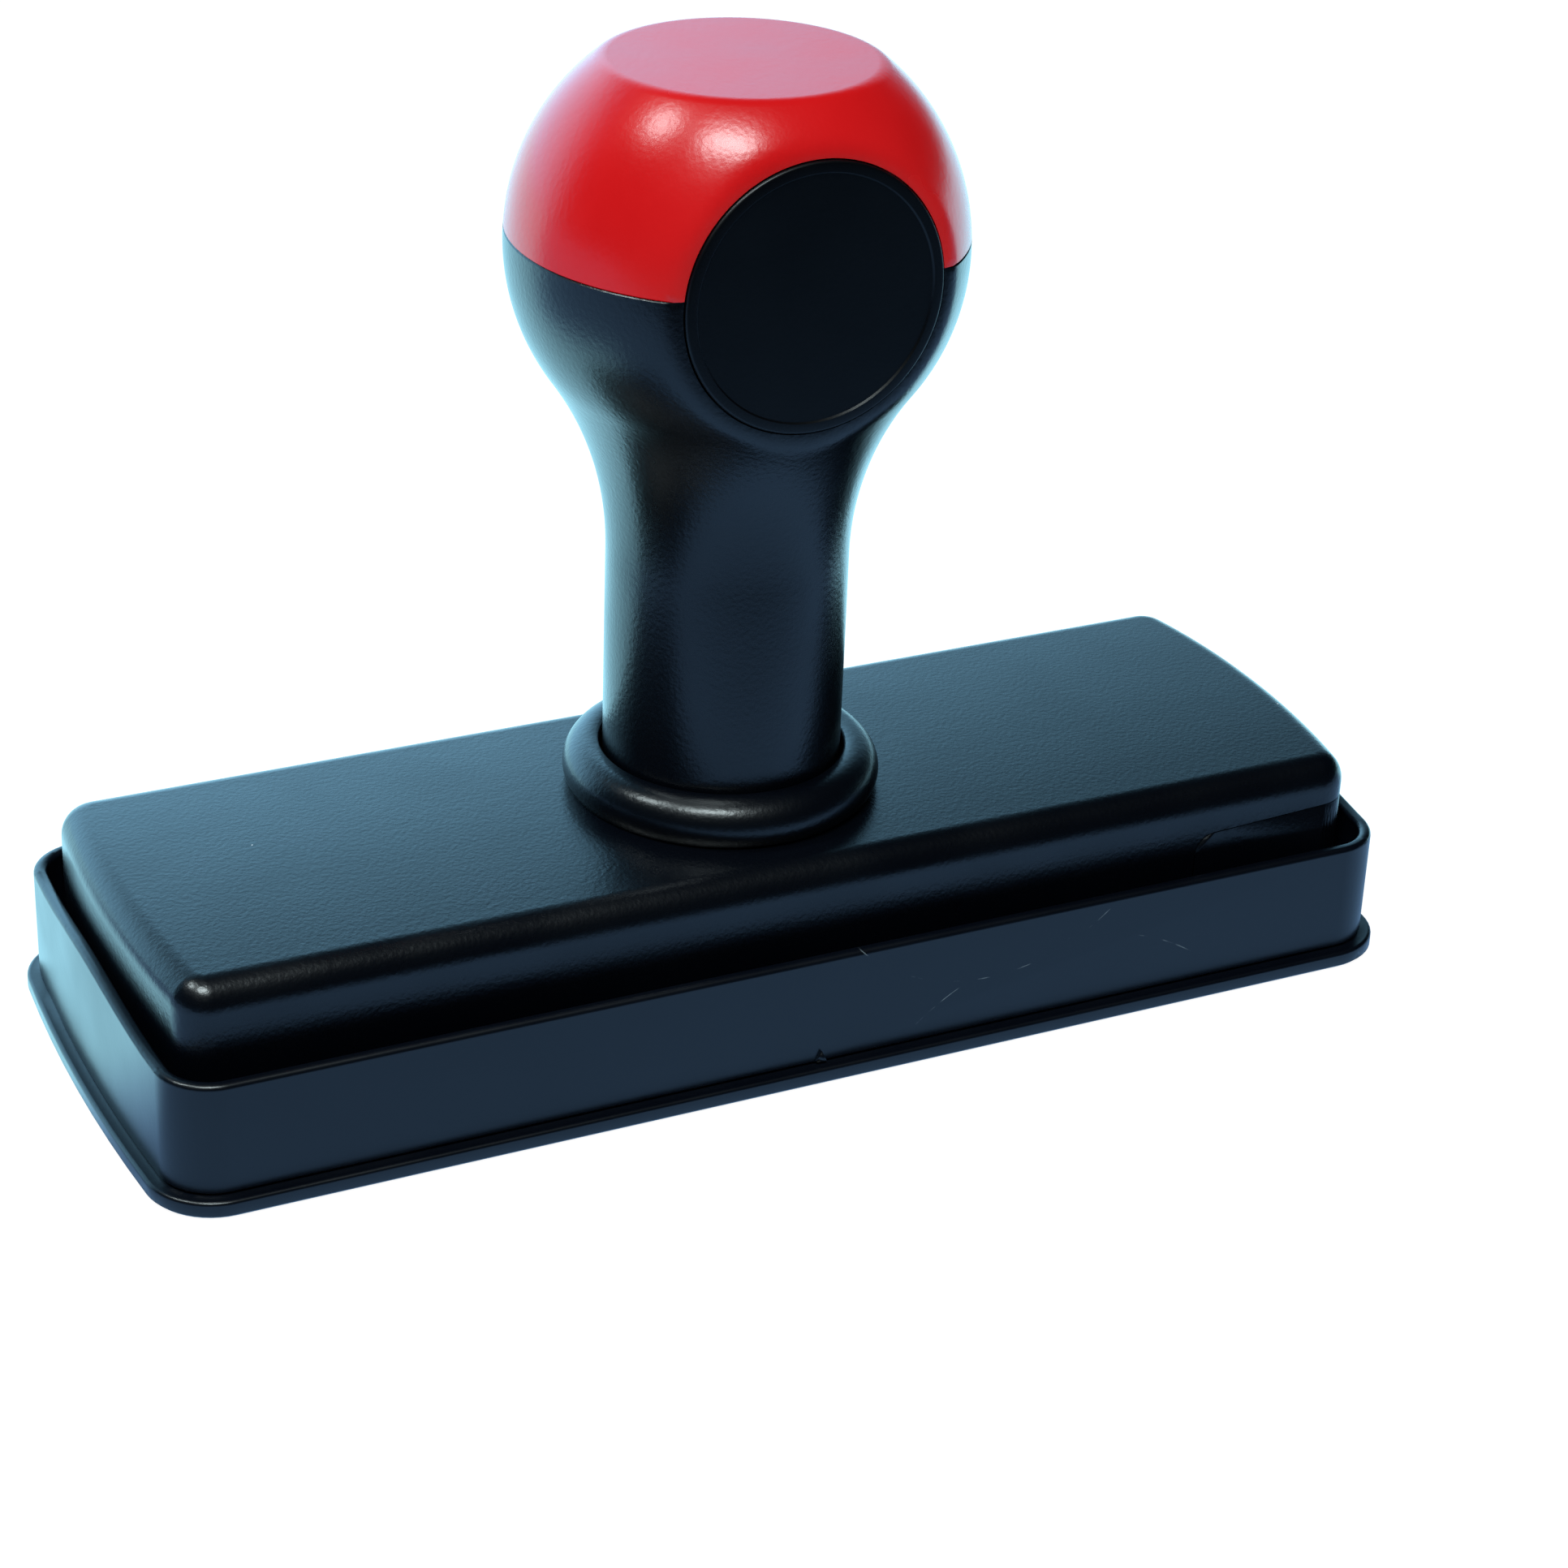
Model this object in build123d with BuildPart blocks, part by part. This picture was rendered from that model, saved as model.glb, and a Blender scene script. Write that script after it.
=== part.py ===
"""Knob-handled office stamp: a self-inking block in a spring-loaded skirt, on a dust cover.

Millimetres.  +X runs along the stamp to the cartridge end, -Y is the front with the badge
and +Z is up.  The origin is the centre of the dust cover's underside.
"""
from build123d import *

import os
from math import sqrt

# ---- Driving dimensions ----------------------------------------------------------------

# Skirt: the thin outer frame that stands on the paper.
skirt_length = 100.0  # over the middles of the bowed ends
skirt_width = 37.5
skirt_height = 8.85
skirt_end_radius = 180.0  # bow of the ends in plan
skirt_corner = 4.2
skirt_wall = 1.0
skirt_end_rise = 1.2  # the rim arches up by this over each end
rim_round = 0.4
foot_chamfer = 0.25
ledge_thickness = 1.1
end_bay = 12.0  # length of each end bay, which holds two springs and a hook
guide_rib_width = 1.4
guide_rib_height = 4.6
guide_rib_x = 26.0
mark_width = 0.8
mark_height = 0.85
mark_depth = 0.25

# Dust cover.
flange_thickness = 1.35
flange_stand_out = 0.95
flange_round = 0.3
dust_floor = 1.0
upstand_wall = 1.0
upstand_height = 1.25

# Motion.
stroke = 3.5

# Top cover: the shell of the block.
cover_wall = 1.3
cover_top_thickness = 1.7
cover_end_radius = 95.0
cover_corner = 2.7
cover_edge_round = 1.5
boss_radius = 7.2
boss_height = 6.2
seat_depth = 0.2  # the collar ring stands in a round seat this deep

# Notch in the cover's cartridge end, filled by a band of the cartridge holder.
notch_start_rise = 2.7  # height of the seam above the cover's foot, where it starts
notch_run = 15.2  # the seam's run back from the end
notch_corner = 1.7
notch_end_rise = 0.7  # the seam climbs this much to the end
band_thickness = 2.0

# Ink cartridge: holder, pad, die and the frame that keeps them in.
relief_depth = 0.9
die_thickness = 1.8
pad_thickness = 4.0
plate_thickness = 1.2
rib_height = 1.4
rib_width = 1.2
chamber_wall = 1.0
chamber_lap = 1.0  # the chamber's wall reaches this far below the top of the die
die_frame_wall = 0.8
die_frame_flange = 0.6
die_lip = 1.1  # how far the frame's flange reaches under the die
border_width = 0.8
text_line_width = 1.0
text_line_count = 3

# Snap lugs that hold the cartridge holder in the cover.
lug_length = 6.0
lug_depth = 0.55
lug_height = 0.9
lug_x = 24.0

# Return springs, their posts and the retaining hooks.
spring_wire = 0.5
spring_radius = 2.25  # to the middle of the wire
spring_turns = 4.5
spring_y = 8.0
post_radius = 1.5
post_height = 3.3
sleeve_wall = 0.7
sleeve_height = 1.8
hook_width = 6.0
hook_stem = 1.2
hook_nose = 1.1
nose_height = 1.1
catch_depth = 1.0
catch_height = 1.2

# Collar ring.
ring_height = 3.9
ring_section = 2.77  # from its hole to the widest point of its bulge
ring_undercut = 1.0  # the base stands in by this much from the bulge
ring_bulge_z = 1.8
ring_lip_width = 0.9
ring_lip_thickness = 0.9

# Handle and knob.
shaft_radius = 9.0
neck_radius = 24.0
knob_radius = 16.6
knob_rise = 43.3  # from the ring's seat to the middle of the knob
knob_flat_rise = 13.3  # from the middle of the knob to its flat top
knob_top_round = 1.6
seam_rise = 1.0  # the joint of cap and shell lies this far above the middle
handle_wall = 1.6
web_thickness = 1.8
core_radius = 3.3
core_height = 12.0
spigot_length = 3.0
spigot_wall = 1.2

# Badge and its flat on the knob.
badge_radius = 9.8
badge_thickness = 1.25
badge_stand_out = 0.25
badge_margin = 0.9  # the flat on the knob is this much larger than the badge, all round
badge_rim = 0.7
badge_dish = 0.2
badge_wall = 1.4

# Handle screw and washer.
screw_radius = 1.5
screw_head_radius = 2.9
screw_head_height = 1.8
screw_grip = 9.0  # length of thread in the handle's core
recess_width = 0.8
recess_depth = 1.0
washer_radius = 4.0
washer_thickness = 0.6
counterbore_radius = 4.3
counterbore_depth = 3.8

# Clearances.
side_gap = 2.25  # between block and skirt, along each long side
end_gap = 0.5  # between block and skirt, at each end
guide_clearance = 0.15
dust_fit = 0.1
ledge_clearance = 0.15
travel_clearance = 0.35
hook_clearance = 0.3
nose_clearance = 0.05
holder_clearance = 0.15
notch_clearance = 0.08
die_clearance = 0.2
pad_clearance = 0.05
frame_clearance = 0.1
window_clearance = 0.4
spring_clearance = 0.4
ring_clearance = 0.23
boss_clearance = 0.15
badge_clearance = 0.1
spigot_clearance = 0.15
screw_clearance = 0.2
thread_clearance = 0.05

# ---- Levels and sizes worked out from them ---------------------------------------------

foot_z = flange_thickness
rim_z = foot_z + skirt_height
ledge_z = foot_z + upstand_height + ledge_clearance
ledge_top = ledge_z + ledge_thickness

die_face_z = foot_z + stroke
die_z = die_face_z + relief_depth
die_top = die_z + die_thickness
plate_z = die_top + pad_thickness + pad_clearance
plate_top = plate_z + plate_thickness
ceiling_z = plate_top + rib_height
cover_top_z = ceiling_z + cover_top_thickness
cover_foot_z = ledge_top + stroke + travel_clearance

cover_length = skirt_length - 2 * (skirt_wall + end_gap)
cover_width = skirt_width - 2 * (skirt_wall + side_gap)
cover_inner_x = cover_length / 2 - cover_wall
cover_inner_y = cover_width / 2 - cover_wall

# Half sizes of the nested parts of the cartridge, from the cover's wall inwards.
frame_half_y = cover_inner_y - frame_clearance
frame_half_x = skirt_length / 2 - skirt_wall - end_bay - window_clearance
chamber_half_x = frame_half_x - die_frame_wall - frame_clearance
chamber_half_y = frame_half_y - die_frame_wall - frame_clearance
die_half_x = chamber_half_x - chamber_wall - die_clearance
die_half_y = chamber_half_y - chamber_wall - die_clearance
chamber_z = die_top - chamber_lap

ring_seat_z = cover_top_z - seat_depth
ring_hole_radius = shaft_radius + ring_clearance
ring_radius = ring_hole_radius + ring_section
ring_base_radius = ring_radius - ring_undercut
ring_top_z = ring_seat_z + ring_height
handle_foot_z = ring_seat_z + ring_lip_thickness
boss_top = ring_seat_z + boss_height
web_z = boss_top + boss_clearance
web_top = web_z + web_thickness
knob_z = ring_seat_z + knob_rise
knob_top = knob_z + knob_flat_rise
seam_z = knob_z + seam_rise
counterbore_top = ceiling_z + counterbore_depth
facet_y = sqrt(knob_radius**2 - (badge_radius + badge_margin) ** 2)
badge_seat_y = facet_y + badge_stand_out - badge_thickness
badge_wall_y = badge_seat_y - badge_wall
screw_top = web_top + screw_grip

spring_x = skirt_length / 2 - skirt_wall - end_bay + 4.5
spring_places = [(sx * spring_x, sy * spring_y) for sx in (-1, 1) for sy in (-1, 1)]
sleeve_radius = spring_radius + spring_wire / 2 + spring_clearance
catch_x = cover_inner_x - catch_depth
hook_x = catch_x - hook_clearance
nose_top = ceiling_z - stroke - travel_clearance
nose_z = nose_top - nose_height
catch_z = nose_z - nose_clearance - catch_height
slot_width = hook_width + 2 * hook_clearance
slot_x = hook_x - hook_stem - hook_clearance


# ---- Shared outlines -------------------------------------------------------------------


def bowed_outline(length, width, end_radius, corner):
    """Plan outline with straight long sides, bowed ends and rounded corners."""
    half_width = width / 2
    corner_x = length / 2 - end_radius + sqrt(end_radius**2 - half_width**2)
    with BuildSketch(mode=Mode.PRIVATE) as outline:
        with BuildLine():
            Line((-corner_x, half_width), (corner_x, half_width))
            ThreePointArc((corner_x, half_width), (length / 2, 0), (corner_x, -half_width))
            Line((corner_x, -half_width), (-corner_x, -half_width))
            ThreePointArc((-corner_x, -half_width), (-length / 2, 0), (-corner_x, half_width))
        make_face()
        fillet(outline.vertices(), corner)
    return outline.sketch


def skirt_outline(inset):
    """Outline of the skirt's outside, moved in by inset."""
    return bowed_outline(
        skirt_length - 2 * inset,
        skirt_width - 2 * inset,
        skirt_end_radius - inset,
        skirt_corner - inset,
    )


def cover_outline(inset):
    """Outline of the top cover's outside, moved in by inset."""
    return bowed_outline(
        cover_length - 2 * inset,
        cover_width - 2 * inset,
        cover_end_radius - inset,
        cover_corner - inset,
    )


def notch_side(inset):
    """Side view of the notch in the cover's +X end, made smaller all round by inset."""
    start_x = cover_length / 2 - notch_run + inset
    start_z = cover_foot_z + notch_start_rise
    shoulder = (start_x + notch_corner, start_z + notch_corner - inset)
    end_x = cover_length / 2 + end_gap
    with BuildSketch(mode=Mode.PRIVATE) as side:
        with BuildLine():
            Line((start_x, cover_foot_z - 1), (start_x, start_z - inset))
            TangentArc((start_x, start_z - inset), shoulder, tangent=(0, 1))
            Line(shoulder, (end_x, shoulder[1] + notch_end_rise))
            Line((end_x, shoulder[1] + notch_end_rise), (end_x, cover_foot_z - 1))
            Line((end_x, cover_foot_z - 1), (start_x, cover_foot_z - 1))
        make_face()
    return side.sketch


def handle_section(inset, bottom, top):
    """Half section of shaft, neck and knob about the Z axis, moved in by inset.

    The neck is one arc, tangent to the shaft and to the knob's ball, so an inset curve
    keeps the same centres.
    """
    shaft, neck, ball = shaft_radius - inset, neck_radius + inset, knob_radius - inset
    neck_x = shaft_radius + neck_radius
    neck_z = knob_z - sqrt((neck_radius + knob_radius) ** 2 - neck_x**2)
    blend = neck / (neck + ball)
    blend_point = (neck_x * (1 - blend), neck_z + blend * (knob_z - neck_z))
    top_point = (sqrt(ball**2 - (top - knob_z) ** 2), top)
    with BuildSketch(mode=Mode.PRIVATE) as section:
        with BuildLine():
            Line((0, bottom), (shaft, bottom))
            Line((shaft, bottom), (shaft, neck_z))
            TangentArc((shaft, neck_z), blend_point, tangent=(0, 1))
            ThreePointArc(blend_point, (ball, knob_z), top_point)
            Line(top_point, (0, top))
            Line((0, top), (0, bottom))
        make_face()
    return section.sketch


def catch_side(side):
    """Side view of the catch inside one end of the block, where side is -1 or 1."""
    wall_x = cover_inner_x + cover_wall / 2
    with BuildSketch(mode=Mode.PRIVATE) as section:
        with BuildLine():
            Polyline(
                (side * wall_x, catch_z),
                (side * catch_x, catch_z + catch_height / 2),
                (side * catch_x, catch_z + catch_height),
                (side * wall_x, catch_z + catch_height),
                close=True,
            )
        make_face()
    return section.sketch


# ---- Dust cover ------------------------------------------------------------------------

with BuildPart() as dust_cover:
    with BuildSketch():
        add(skirt_outline(-flange_stand_out))
    extrude(amount=flange_thickness)
    fillet(dust_cover.edges().group_by(Axis.Z)[-1], flange_round)
    chamfer(dust_cover.edges().group_by(Axis.Z)[0], flange_round)
    with BuildSketch(Plane.XY.offset(flange_thickness)):
        add(skirt_outline(skirt_wall + dust_fit))
    extrude(amount=upstand_height)
    with BuildSketch(Plane.XY.offset(dust_floor)):
        add(skirt_outline(skirt_wall + dust_fit + upstand_wall))
    extrude(amount=flange_thickness + upstand_height, mode=Mode.SUBTRACT)
dust_cover.part.label = "dust_cover"

# ---- Skirt -----------------------------------------------------------------------------

with BuildPart() as skirt:
    with BuildSketch(Plane.XY.offset(foot_z)):
        add(skirt_outline(0))
        add(skirt_outline(skirt_wall), mode=Mode.SUBTRACT)
    extrude(amount=skirt_height + skirt_end_rise)
    chamfer(skirt.faces().sort_by(Axis.Z)[0].outer_wire().edges(), foot_chamfer)
    # The rim is level along the sides and arches up over the ends.
    inner_y = skirt_width / 2 - skirt_wall
    with BuildSketch(Plane.YZ):
        with BuildLine():
            Spline(
                (-inner_y, rim_z), (0, rim_z + skirt_end_rise), (inner_y, rim_z),
                tangents=((1, 0), (1, 0)),
            )
            Polyline(
                (inner_y, rim_z),
                (skirt_width, rim_z),
                (skirt_width, rim_z + skirt_height),
                (-skirt_width, rim_z + skirt_height),
                (-skirt_width, rim_z),
                (-inner_y, rim_z),
            )
        make_face()
    extrude(amount=skirt_length, both=True, mode=Mode.SUBTRACT)
    fillet(skirt.edges().filter_by_position(Axis.Z, rim_z, rim_z + skirt_end_rise), rim_round)
    # Ledge round the foot, open in the middle for the die.
    with BuildSketch(Plane.XY.offset(ledge_z)):
        add(skirt_outline(skirt_wall / 2))
        RectangleRounded(
            2 * (frame_half_x + window_clearance), 2 * (frame_half_y + window_clearance), 2.0,
            mode=Mode.SUBTRACT,
        )
    extrude(amount=ledge_thickness)
    with BuildSketch(Plane.XY.offset(ledge_top)):
        with Locations(*spring_places):
            Circle(post_radius)
    extrude(amount=post_height)
    # Retaining hooks, which keep the springs from pushing the block out.
    with BuildSketch(Plane.XZ):
        for side in (-1, 1):
            with BuildLine():
                Polyline(
                    (side * (hook_x - hook_stem), ledge_top - ledge_thickness / 2),
                    (side * hook_x, ledge_top - ledge_thickness / 2),
                    (side * hook_x, nose_z),
                    (side * (hook_x + hook_nose), nose_z),
                    (side * hook_x, nose_top),
                    (side * (hook_x - hook_stem), nose_top),
                    close=True,
                )
            make_face()
    extrude(amount=hook_width / 2, both=True)
    # Ribs that guide the block's long sides.
    rib_y = cover_width / 2 + guide_clearance
    rib_depth = inner_y + skirt_wall / 2 - rib_y
    with BuildSketch(Plane.XY.offset(ledge_top - ledge_thickness / 2)):
        for side in (-1, 1):
            with Locations((guide_rib_x, side * (rib_y + rib_depth / 2))):
                Rectangle(guide_rib_width, rib_depth)
            with Locations((-guide_rib_x, side * (rib_y + rib_depth / 2))):
                Rectangle(guide_rib_width, rib_depth)
    extrude(amount=guide_rib_height + ledge_thickness / 2)
    # Centre marks at the foot, front and rear.
    with BuildSketch(Plane.XZ.offset(skirt_width / 2 - skirt_wall / 2)):
        with BuildLine():
            Polyline(
                (-mark_width / 2, foot_z + foot_chamfer),
                (mark_width / 2, foot_z + foot_chamfer),
                (0, foot_z + foot_chamfer + mark_height),
                close=True,
            )
        make_face()
    centre_mark = extrude(amount=skirt_wall / 2 + mark_depth)
    mirror(centre_mark, about=Plane.XZ)
skirt.part.label = "skirt"

# ---- Top cover -------------------------------------------------------------------------

with BuildPart() as top_cover:
    with BuildSketch(Plane.XY.offset(cover_foot_z)):
        add(cover_outline(0))
    extrude(amount=cover_top_z - cover_foot_z)
    fillet(top_cover.faces().sort_by(Axis.Z)[-1].edges(), cover_edge_round)
    with BuildSketch(Plane.XY.offset(cover_foot_z)):
        add(cover_outline(cover_wall))
    extrude(amount=ceiling_z - cover_foot_z, mode=Mode.SUBTRACT)
    with BuildSketch(Plane.XZ):
        add(catch_side(-1))
    extrude(amount=hook_width / 2, both=True)
    # Notch for the band of the cartridge holder.
    with BuildSketch(Plane.XZ):
        add(notch_side(0))
    extrude(amount=cover_width, both=True, mode=Mode.SUBTRACT)
    # Pockets for the snap lugs.
    with BuildSketch(Plane.XY.offset(plate_top - lug_height - holder_clearance)):
        for lug_place in (-lug_x, lug_x):
            with Locations((lug_place, 0)):
                Rectangle(
                    lug_length + 2 * holder_clearance,
                    2 * (cover_inner_y + lug_depth),
                )
    extrude(amount=lug_height + 2 * holder_clearance, mode=Mode.SUBTRACT)
    # Seat of the collar ring, and the boss that centres the handle.
    with BuildSketch(Plane.XY.offset(ring_seat_z)):
        Circle(ring_base_radius + 2 * ring_clearance)
    extrude(amount=cover_top_thickness, mode=Mode.SUBTRACT)
    with BuildSketch(Plane.XY.offset(ceiling_z)):
        Circle(boss_radius)
    extrude(amount=boss_top - ceiling_z)
    with BuildSketch(Plane.XY.offset(ceiling_z)):
        Circle(counterbore_radius)
    extrude(amount=counterbore_depth, mode=Mode.SUBTRACT)
    with BuildSketch(Plane.XY.offset(ceiling_z)):
        Circle(screw_radius + screw_clearance)
    extrude(amount=boss_top, mode=Mode.SUBTRACT)
top_cover.part.label = "top_cover"

# ---- Cartridge holder ------------------------------------------------------------------

# The band that fills the notch, flush with the outside of the cover.
with BuildPart() as end_band:
    with BuildSketch(Plane.XY.offset(cover_foot_z)):
        add(cover_outline(0))
        add(cover_outline(band_thickness), mode=Mode.SUBTRACT)
    extrude(amount=ceiling_z - cover_foot_z)
    with BuildSketch(Plane.XZ):
        add(notch_side(notch_clearance))
    extrude(amount=cover_width, both=True, mode=Mode.INTERSECT)

with BuildPart() as cartridge_holder:
    with BuildSketch(Plane.XY.offset(plate_z)):
        add(cover_outline(cover_wall + holder_clearance))
        for lug_place in (-lug_x, lug_x):
            with Locations((lug_place, 0)):
                Rectangle(lug_length, 2 * (cover_inner_y + lug_depth - holder_clearance))
    extrude(amount=plate_thickness)
    with BuildSketch(Plane.XY.offset(plate_z)):
        for lug_place in (-lug_x, lug_x):
            with Locations((lug_place, 0)):
                Rectangle(lug_length + 1, cover_width)
        Rectangle(cover_length, 2 * (cover_inner_y - holder_clearance), mode=Mode.SUBTRACT)
    extrude(amount=plate_thickness - lug_height, mode=Mode.SUBTRACT)
    # Chamber of the ink pad and the die.
    with BuildSketch(Plane.XY.offset(chamber_z)):
        Rectangle(2 * chamber_half_x, 2 * chamber_half_y)
        Rectangle(
            2 * (chamber_half_x - chamber_wall), 2 * (chamber_half_y - chamber_wall),
            mode=Mode.SUBTRACT,
        )
    extrude(amount=plate_z - chamber_z)
    # Sleeves over the springs.
    with BuildSketch(Plane.XY.offset(plate_z - sleeve_height)):
        with Locations(*spring_places):
            Circle(sleeve_radius + sleeve_wall)
        with Locations(*spring_places):
            Circle(sleeve_radius, mode=Mode.SUBTRACT)
    extrude(amount=sleeve_height)
    # Ribs up to the cover's ceiling.
    with BuildSketch(Plane.XY.offset(plate_top)):
        for rib_place in (-chamber_half_y / 2, chamber_half_y / 2):
            with Locations((0, rib_place)):
                Rectangle(2 * chamber_half_x, rib_width)
        for rib_place in (-chamber_half_x, -chamber_half_x / 2, chamber_half_x / 2, chamber_half_x):
            with Locations((rib_place, 0)):
                Rectangle(rib_width, 2 * chamber_half_y)
    extrude(amount=rib_height - pad_clearance)
    add(end_band.part)
    with BuildSketch(Plane.XZ):
        add(catch_side(1))
    extrude(amount=hook_width / 2, both=True)
    # Slots for the skirt's hooks.
    with BuildSketch(Plane.XY.offset(nose_z)):
        for side in (-1, 1):
            with Locations((side * (slot_x + catch_x + catch_depth - hook_clearance / 2) / 2, 0)):
                Rectangle(catch_x + catch_depth - hook_clearance / 2 - slot_x, slot_width)
    extrude(amount=plate_top, mode=Mode.SUBTRACT)
cartridge_holder.part.label = "cartridge_holder"

# ---- Ink pad, die and die frame --------------------------------------------------------

with BuildPart() as ink_pad:
    with BuildSketch(Plane.XY.offset(die_top)):
        RectangleRounded(2 * die_half_x, 2 * die_half_y, 1.0)
    extrude(amount=pad_thickness)
ink_pad.part.label = "ink_pad"

# The die's raised pattern is generic: a border and plain lines.
face_half_x = die_half_x - die_lip - die_clearance
face_half_y = die_half_y - die_lip - die_clearance
with BuildPart() as stamp_die:
    with BuildSketch(Plane.XY.offset(die_z)):
        RectangleRounded(2 * die_half_x, 2 * die_half_y, 1.0)
    extrude(amount=die_thickness)
    with BuildSketch(Plane.XY.offset(die_face_z)):
        RectangleRounded(2 * face_half_x, 2 * face_half_y, 1.5)
        RectangleRounded(
            2 * (face_half_x - border_width), 2 * (face_half_y - border_width), 1.0,
            mode=Mode.SUBTRACT,
        )
        line_step = 2 * face_half_y / (text_line_count + 1)
        with GridLocations(0, line_step, 1, text_line_count):
            Rectangle(1.5 * face_half_x, text_line_width)
    extrude(amount=relief_depth)
stamp_die.part.label = "stamp_die"

frame_top = cover_foot_z - frame_clearance
with BuildPart() as die_frame:
    with BuildSketch(Plane.XY.offset(die_z - die_frame_flange - pad_clearance)):
        RectangleRounded(2 * frame_half_x, 2 * frame_half_y, 1.5)
    extrude(amount=frame_top - die_z + die_frame_flange + pad_clearance)
    with BuildSketch(Plane.XY.offset(die_z - pad_clearance)):
        Rectangle(2 * (chamber_half_x + frame_clearance), 2 * (chamber_half_y + frame_clearance))
    extrude(amount=frame_top - die_z + pad_clearance, mode=Mode.SUBTRACT)
    with BuildSketch(Plane.XY.offset(die_z - die_frame_flange - pad_clearance)):
        RectangleRounded(2 * (die_half_x - die_lip), 2 * (die_half_y - die_lip), 1.5)
    extrude(amount=frame_top, mode=Mode.SUBTRACT)
die_frame.part.label = "die_frame"

# ---- Collar ring -----------------------------------------------------------------------

with BuildPart() as collar_ring:
    ring_bulge = (ring_radius, ring_seat_z + ring_bulge_z)
    crest_x = ring_radius - (ring_height - ring_bulge_z)
    lip_radius = ring_hole_radius - ring_lip_width
    with BuildSketch(Plane.XZ):
        with BuildLine():
            Line((lip_radius, ring_seat_z), (ring_base_radius, ring_seat_z))
            TangentArc(ring_bulge, (ring_base_radius, ring_seat_z), tangent=(0, -1))
            TangentArc(ring_bulge, (crest_x, ring_top_z), tangent=(0, 1))
            Polyline(
                (crest_x, ring_top_z),
                (ring_hole_radius + 0.25, ring_top_z - 0.05),
                (ring_hole_radius, ring_top_z - 0.3),
                (ring_hole_radius, handle_foot_z),
                (lip_radius, handle_foot_z),
                (lip_radius, ring_seat_z),
            )
        make_face()
    revolve(axis=Axis.Z)
collar_ring.part.label = "collar_ring"

# ---- Handle shell, knob cap and badge --------------------------------------------------

badge_seat = Plane((0, -badge_seat_y, knob_z), x_dir=(1, 0, 0), z_dir=(0, -1, 0))

# Hollow inside the knob, which stops behind the flat of the badge.
with BuildPart() as knob_void:
    with BuildSketch(Plane.XZ):
        add(handle_section(handle_wall, web_top, knob_top - handle_wall))
    revolve(axis=Axis.Z)
    split(bisect_by=Plane.XZ.offset(badge_wall_y), keep=Keep.BOTTOM)

# Outside of the whole handle, with the flat for the badge and its pocket.
with BuildPart() as handle_body:
    with BuildSketch(Plane.XZ):
        add(handle_section(0, handle_foot_z, knob_top))
    revolve(axis=Axis.Z)
    fillet(handle_body.edges().group_by(Axis.Z)[-1], knob_top_round)
    split(bisect_by=Plane.XZ.offset(facet_y), keep=Keep.BOTTOM)
    fillet(handle_body.faces().sort_by(Axis.Y)[0].edges(), badge_margin - 2 * badge_clearance)
    with BuildSketch(badge_seat):
        Circle(badge_radius + badge_clearance)
    extrude(amount=knob_radius, mode=Mode.SUBTRACT)
    add(knob_void.part, mode=Mode.SUBTRACT)

with BuildPart() as handle_shell:
    add(handle_body.part)
    split(bisect_by=Plane.XY.offset(seam_z), keep=Keep.BOTTOM)
    with BuildSketch(Plane.XY.offset(handle_foot_z)):
        Circle(boss_radius + boss_clearance)
    extrude(amount=web_z - handle_foot_z, mode=Mode.SUBTRACT)
    with BuildSketch(Plane.XY.offset(web_z)):
        Circle(core_radius)
    extrude(amount=web_thickness + core_height)
    with BuildSketch(Plane.XY.offset(web_z)):
        Circle(screw_radius + thread_clearance)
    extrude(amount=web_thickness + core_height - 1, mode=Mode.SUBTRACT)
handle_shell.part.label = "handle_shell"

spigot_radius = sqrt(
    (knob_radius - handle_wall) ** 2 - (spigot_length - seam_rise) ** 2
) - spigot_clearance
with BuildPart() as knob_cap:
    add(handle_body.part)
    split(bisect_by=Plane.XY.offset(seam_z), keep=Keep.TOP)
    # Spigot down into the shell, and the step that ties it to the cap's wall.
    with BuildSketch(Plane.XY.offset(seam_z - spigot_length)):
        Circle(spigot_radius)
    extrude(amount=spigot_length)
    with BuildSketch(Plane.XY.offset(seam_z)):
        Circle(knob_radius - handle_wall / 2)
    extrude(amount=spigot_wall)
    with BuildSketch(Plane.XY.offset(seam_z - spigot_length)):
        Circle(spigot_radius - spigot_wall)
    extrude(amount=spigot_length + spigot_wall, mode=Mode.SUBTRACT)
    with BuildSketch(Plane.XY.offset(seam_z - spigot_length)):
        with Locations((0, -badge_wall_y + spigot_clearance)):
            Rectangle(2 * knob_radius, knob_radius, align=(Align.CENTER, Align.MAX))
    extrude(amount=spigot_length, mode=Mode.SUBTRACT)
    with BuildSketch(badge_seat):
        Circle(badge_radius + badge_clearance)
    extrude(amount=knob_radius, mode=Mode.SUBTRACT)
knob_cap.part.label = "knob_cap"

# Bare disc with a raised rim.
with BuildPart() as knob_badge:
    with BuildSketch(badge_seat):
        Circle(badge_radius)
    extrude(amount=badge_thickness)
    fillet(knob_badge.edges().group_by(Axis.Y)[0], badge_dish)
    with BuildSketch(badge_seat.offset(badge_thickness)):
        Circle(badge_radius - badge_rim)
    extrude(amount=-badge_dish, mode=Mode.SUBTRACT)
knob_badge.part.label = "knob_badge"

# ---- Handle screw and washer -----------------------------------------------------------

washer_z = counterbore_top - washer_thickness
head_z = washer_z - screw_head_height
with BuildPart() as handle_washer:
    with BuildSketch(Plane.XY.offset(washer_z)):
        Circle(washer_radius)
        Circle(screw_radius + screw_clearance, mode=Mode.SUBTRACT)
    extrude(amount=washer_thickness)
handle_washer.part.label = "handle_washer"

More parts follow.
